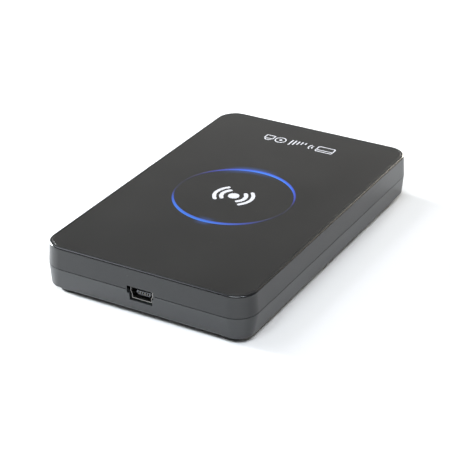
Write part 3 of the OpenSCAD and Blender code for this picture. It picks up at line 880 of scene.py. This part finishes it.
def moulded(name, colour, rough, grain_mm=0.15, depth_mm=0.01, tone=0.08, gloss=0.05, dust=0.0,
            strength=0.5, specular=0.5):
    """Moulded or cast material: grain, uneven tone and gloss and, on outside faces, a little dust."""
    material, g, shader = new_material(name)
    grain = place_group(g, GRAIN, Grain_Size_mm=grain_mm, Tone_Spread=tone, Gloss_Spread=gloss)
    result = g.scale(colour, grain.outputs["Tone"])
    roughness = g.math("ADD", grain.outputs["Gloss Shift"], rough)
    if dust:
        specks = place_group(g, DUST, Share=dust)
        result = g.mix(specks.outputs["Mask"], result, (0.32, 0.32, 0.31, 1.0))
        roughness = g.math("ADD", roughness, g.math("MULTIPLY", specks.outputs["Mask"], 0.3))
    g.feed(shader.inputs["Base Color"], result)
    g.feed(shader.inputs["Roughness"], roughness)
    g.bump(shader, grain.outputs["Height"], strength, depth_mm)
    shader.inputs["Specular IOR Level"].default_value = specular
    return material, g, shader


def metal(name, colour, rough, brushed=(1, 1, 1), scratch_mm=0.1, depth_mm=0.004):
    """Plated or bare metal with drawn marks along one direction and light tarnish."""
    material, g, shader = new_material(name)
    place = g.place()
    lines = g.noise(place, 1 / (scratch_mm * MM), 3.0, 0.6, stretch=brushed)
    tarnish = g.noise(place, 350.0, 3.0, 0.6)
    dull = tuple(c * 0.72 for c in colour)
    g.feed(shader.inputs["Base Color"], g.mix(g.remap(tarnish, 0.35, 0.75), (*colour, 1.0), (*dull, 1.0)))
    uneven = g.math("MULTIPLY", g.math("SUBTRACT", lines, 0.5), 0.25)
    g.feed(shader.inputs["Roughness"], g.math("ADD", rough, uneven))
    shader.inputs["Metallic"].default_value = 1.0
    g.bump(shader, lines, 0.4, depth_mm)
    return material


def panel_material():
    """Satin panel, with the ring's light spilt on it beside the bright stretches."""
    material, g, shader = moulded("face_panel_satin", (0.0135, 0.0133, 0.0128), 0.33, 0.11, 0.006, 0.16,
                                  0.06, dust=0.10, strength=0.35)
    light = place_group(g, RING_LIGHT, Spill_mm=3.2)
    glow = g.math("MULTIPLY", light.outputs["Spill"], 0.22)
    g.feed(shader.inputs["Emission Color"], g.mix(glow, (0, 0, 0, 1), (0.06, 0.20, 0.80, 1.0)))
    shader.inputs["Emission Strength"].default_value = 1.0
    return material


def window_material():
    """Tinted window: dark grey where it is unlit, clear blue where it is lit, with painted violet shade
    along one edge.
    """
    material, g, shader = moulded("ring_window_blue", (0.024, 0.024, 0.030), 0.30, 0.11, 0.004, 0.10, 0.04,
                                  strength=0.3, specular=0.35)
    light = place_group(g, RING_LIGHT)
    g.feed(shader.inputs["Emission Color"], light.outputs["Window Colour"])
    shader.inputs["Emission Strength"].default_value = 1.0
    return material


def print_material():
    """Screen print: near-white ink, slightly thin in places."""
    material, g, shader = new_material("white_screen_print")
    place = g.place()
    thin = g.remap(g.noise(place, 2600.0, 3.0, 0.6), 0.35, 0.8)
    g.feed(shader.inputs["Base Color"], g.mix(thin, (0.54, 0.54, 0.565, 1.0), (0.43, 0.43, 0.455, 1.0)))
    g.feed(shader.inputs["Roughness"], g.remap(thin, 0.0, 1.0, 0.42, 0.6))
    g.bump(shader, thin, 0.3, 0.004)
    return material


def board_material():
    """Solder mask over copper: tracks and a hatched pour show as a slightly lighter green."""
    material, g, shader = new_material("board_solder_mask")
    place = g.place()
    tracks = g.node("ShaderNodeTexBrick", offset=0.5, squash=1.0)
    g.feed(tracks.inputs["Vector"], place)
    tracks.inputs["Scale"].default_value = 130.0
    tracks.inputs["Mortar Size"].default_value = 0.035
    for brick in ("Color1", "Color2"):
        tracks.inputs[brick].default_value = (0, 0, 0, 1)
    tracks.inputs["Mortar"].default_value = (1, 1, 1, 1)
    copper = g.node("ShaderNodeRGBToBW")
    g.feed(copper.inputs[0], tracks.outputs["Color"])
    cloud = g.noise(place, 90.0, 2.0, 0.5)
    shown = g.math("MULTIPLY", copper.outputs[0], g.remap(cloud, 0.45, 0.55))
    g.feed(shader.inputs["Base Color"], g.mix(shown, (0.010, 0.085, 0.035, 1.0), (0.035, 0.19, 0.07, 1.0)))
    g.feed(shader.inputs["Roughness"], g.remap(cloud, 0.2, 0.8, 0.28, 0.38))
    g.bump(shader, shown, 0.5, 0.03)
    return material


def clear_material(name, tint, rough, alpha_low, alpha_high):
    """Clear moulding, slightly milky, with flow lines."""
    material, g, shader = new_material(name)
    place = g.place()
    flow = g.noise(place, 240.0, 3.0, 0.6)
    g.feed(shader.inputs["Base Color"], g.mix(flow, (*tint, 1.0), tuple(c * 0.85 for c in tint) + (1.0,)))
    g.feed(shader.inputs["Roughness"], g.remap(flow, 0.3, 0.7, rough, rough + 0.12))
    g.feed(shader.inputs["Alpha"], g.remap(flow, 0.3, 0.7, alpha_low, alpha_high))
    return material


COVER_GRAIN = {"grain_mm": 0.16, "depth_mm": 0.012, "tone": 0.10, "gloss": 0.06, "dust": 0.16,
               "specular": 0.58}


def upper_cover_material():
    """The cover's satin plastic, glossier on the round of the top edge, which hands rub smooth."""
    material, g, shader = moulded("cover_satin_plastic", (0.0108, 0.0114, 0.0119), 0.33, **COVER_GRAIN)
    height = g.split(g.place())[2]
    polish = 0.15
    rise = g.remap(height, (Z_TOP - RIM_ROUND) * MM, (Z_TOP - RIM_ROUND * 0.5) * MM, 0.0, polish)
    fall = g.remap(height, (Z_TOP - 0.12) * MM, (Z_TOP - 0.04) * MM, polish, 0.0)
    satin = shader.inputs["Roughness"].links[0].from_socket
    g.feed(shader.inputs["Roughness"], g.math("SUBTRACT", satin, g.math("MINIMUM", rise, fall)))
    return material


def plain_moulded(*values, **options):
    return moulded(*values, **options)[0]


# Painted light: a lighter copy of the cover plastic for the lower cover, standing in for the brighter light
# that its downward-leaning wall catches from the floor
lower_cover_lit_plastic = plain_moulded("lower_cover_satin_painted_light", (0.0255, 0.0268, 0.0278), 0.36, **COVER_GRAIN)
finishes = {
    "cover_plastic": upper_cover_material(),
    "panel_plastic": panel_material(),
    "blue_window": window_material(),
    "white_print": print_material(),
    "tape": plain_moulded("black_film_tape", (0.012, 0.012, 0.012), 0.45, 0.3, 0.01),
    "clear_plastic": clear_material("light_ring_clear", (0.86, 0.90, 0.95), 0.18, 0.45, 0.65),
    "white_plastic": plain_moulded("reflector_white", (0.74, 0.74, 0.72), 0.5, 0.2, 0.01, 0.04),
    "black_plastic": plain_moulded("moulded_black", (0.016, 0.016, 0.017), 0.48, 0.12, 0.012, 0.2),
    "foot_rubber": plain_moulded("foot_soft_rubber", (0.018, 0.018, 0.018), 0.72, 0.2, 0.02, 0.25, 0.08,
                                 dust=0.5),
    "screw_steel": metal("zinc_plated_screw", (0.56, 0.56, 0.54), 0.34),
    "label_film": plain_moulded("blank_label_film", (0.40, 0.41, 0.42), 0.36, 0.25, 0.006, 0.06),
    "board_laminate": board_material(),
    "shell_steel": metal("nickel_plated_shell", (0.27, 0.26, 0.245), 0.34, (6, 1, 6), 0.12),
    "grey_plastic": plain_moulded("tongue_grey_moulding", (0.15, 0.155, 0.165), 0.42, 0.1, 0.006, 0.08),
    "gold_plate": metal("gold_plated_contact", (0.83, 0.60, 0.25), 0.25, (5, 1, 5), 0.05),
    "led_body": plain_moulded("led_package", (0.62, 0.66, 0.72), 0.3, 0.1, 0.004, 0.05),
    "copper_wire": metal("enamelled_copper", (0.60, 0.24, 0.10), 0.3, scratch_mm=0.2),
    "amber_tape": plain_moulded("amber_polyimide_tape", (0.42, 0.17, 0.02), 0.25, 0.3, 0.005, 0.1),
    "solder": metal("bright_solder", (0.66, 0.66, 0.66), 0.24, scratch_mm=0.3),
    "amber_plastic": plain_moulded("tantalum_moulding", (0.50, 0.27, 0.04), 0.4, 0.15, 0.01, 0.1),
    "ceramic": plain_moulded("tan_ceramic", (0.30, 0.20, 0.12), 0.35, 0.1, 0.005, 0.12),
}
slot_of = {entry["node"]: entry["material_slot"] for entry in frame["record"]["subparts"]}

for node_name, node_object in frame["nodes"].items():
    finish = finishes[slot_of[node_name]]
    if not node_object.material_slots:
        node_object.data.materials.append(finish)
    for used in node_object.material_slots:
        used.material = finish


def fit_out(piece, node):
    """Puts a refined piece in its CAD node's place, with that node's finish."""
    piece.data.materials.clear()
    piece.data.materials.append(finishes[slot_of[node]])
    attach(piece, "root")
    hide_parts(node)


for build, stands_for in (
        (build_lid, "top_cover"), (build_base, "bottom_cover"), (build_panel, "face_panel"),
        (build_ring_window, "ring_window"), (build_emblem, "emblem_print"), (build_legend, "legend_print"),
        (build_shell, "usb_shell"), (build_insulator, "usb_insulator"), (build_contacts, "usb_contacts"),
        (build_feet, "rubber_feet"), (build_label, "base_label")):
    fit_out(build(), stands_for)
# the lower cover takes the lighter copy of the cover plastic, which is painted light
bpy.data.objects["bottom_cover_shell"].material_slots[0].material = lower_cover_lit_plastic


# ---------------------------------------------------------------------------------------------------
# Floor, light and camera
# ---------------------------------------------------------------------------------------------------
def build_floor():
    half = 1.6
    mesh = bpy.data.meshes.new("floor")
    corners = [(-half, -half, 0), (half, -half, 0), (half, half, 0), (-half, half, 0)]
    mesh.from_pydata(corners, [], [(0, 1, 2, 3)])
    floor = bpy.data.objects.new("floor", mesh)
    bpy.context.scene.collection.objects.link(floor)
    material, g, shader = new_material("pale_floor")
    cloud = g.noise(g.place(), 3.0, 2.0, 0.5)
    g.feed(shader.inputs["Base Color"], g.mix(cloud, (0.86, 0.86, 0.86, 1.0), (0.84, 0.84, 0.84, 1.0)))
    shader.inputs["Roughness"].default_value = 0.9
    shader.inputs["Specular IOR Level"].default_value = 0.1
    mesh.materials.append(material)


def build_world():
    """Dim studio surround, a little brighter near the horizon."""
    world = bpy.data.worlds.new("studio_surround")
    bpy.context.scene.world = world
    world.use_nodes = True
    g = Graph(world.node_tree)
    background = world.node_tree.nodes["Background"]
    upward = g.split(g.node("ShaderNodeTexCoord").outputs["Generated"])[2]
    level = g.ramp(upward, ((0.0, (0.10, 0.10, 0.10)), (0.25, (0.16, 0.16, 0.16)),
                            (0.55, (0.07, 0.07, 0.07)), (1.0, (0.05, 0.05, 0.05))))
    g.feed(background.inputs["Color"], level)
    background.inputs["Strength"].default_value = 1.0


def direction(azimuth, elevation):
    """The direction from the object. Azimuth 0 is in front (-Y) and 90 is at +X."""
    a, e = math.radians(azimuth), math.radians(elevation)
    return Vector((math.sin(a) * math.cos(e), -math.cos(a) * math.cos(e), math.sin(e)))


def build_softbox(name, azimuth, elevation, distance, width, height, power, colour):
    """An area light that looks at the object; distance, width and height are in metres."""
    place = direction(azimuth, elevation) * distance
    light = bpy.data.lights.new(name, "AREA")
    light.shape = "RECTANGLE"
    light.size, light.size_y = width, height
    light.energy = power
    light.color = colour
    lamp = bpy.data.objects.new(name, light)
    lamp.location = place
    lamp.rotation_euler = (-place).to_track_quat("-Z", "Y").to_euler()
    bpy.context.scene.collection.objects.link(lamp)


def build_camera():
    roll = math.radians(-0.213)
    distance, shift_right, shift_up = 487.22, -3.046, -3.825
    back = direction(29.646, 27.767)
    right = (-back).cross(Vector((0, 0, 1))).normalized()
    up = right.cross(-back)
    tilted_right = right * math.cos(roll) + up * math.sin(roll)
    tilted_up = up * math.cos(roll) - right * math.sin(roll)
    middle = Vector((-0.13, 0, Z_BASE + 7.013))
    place = middle + back * distance + tilted_right * shift_right + tilted_up * shift_up
    camera = bpy.data.objects.new("camera", bpy.data.cameras.new("camera"))
    camera.data.sensor_width = 36
    camera.data.lens = 123.71
    camera.data.clip_start = 0.01
    camera.matrix_world = Matrix([(tilted_right[i], tilted_up[i], back[i], place[i] * MM) for i in range(3)]
                                 + [(0, 0, 0, 1)])
    bpy.context.scene.collection.objects.link(camera)
    bpy.context.scene.camera = camera


build_floor()
build_world()
build_softbox("left_softbox", -90, 14, 1.0, 0.45, 0.36, 38.0, (0.94, 0.985, 1.0))
build_softbox("back_softbox", 175, 14, 1.0, 0.45, 0.36, 9.6, (1.0, 0.955, 0.87))
build_softbox("right_fill", 156, 20, 0.6, 0.26, 0.2, 0.3, (1.0, 0.88, 0.68))
build_softbox("back_left_softbox", -146, 12, 1.1, 0.6, 0.2, 0.58, (1.0, 0.98, 0.95))
build_softbox("overhead_softbox", 12, 60, 1.0, 0.6, 0.36, 6.8, (0.90, 0.95, 1.0))
build_softbox("corner_softbox", 68, 58, 1.0, 0.1, 0.1, 2.1, (0.86, 0.91, 1.0))
build_softbox("rim_softbox", -78, 54, 1.0, 0.7, 0.34, 3.0, (0.90, 0.91, 1.0))
build_camera()
bpy.context.scene.view_settings.view_transform = "Standard"
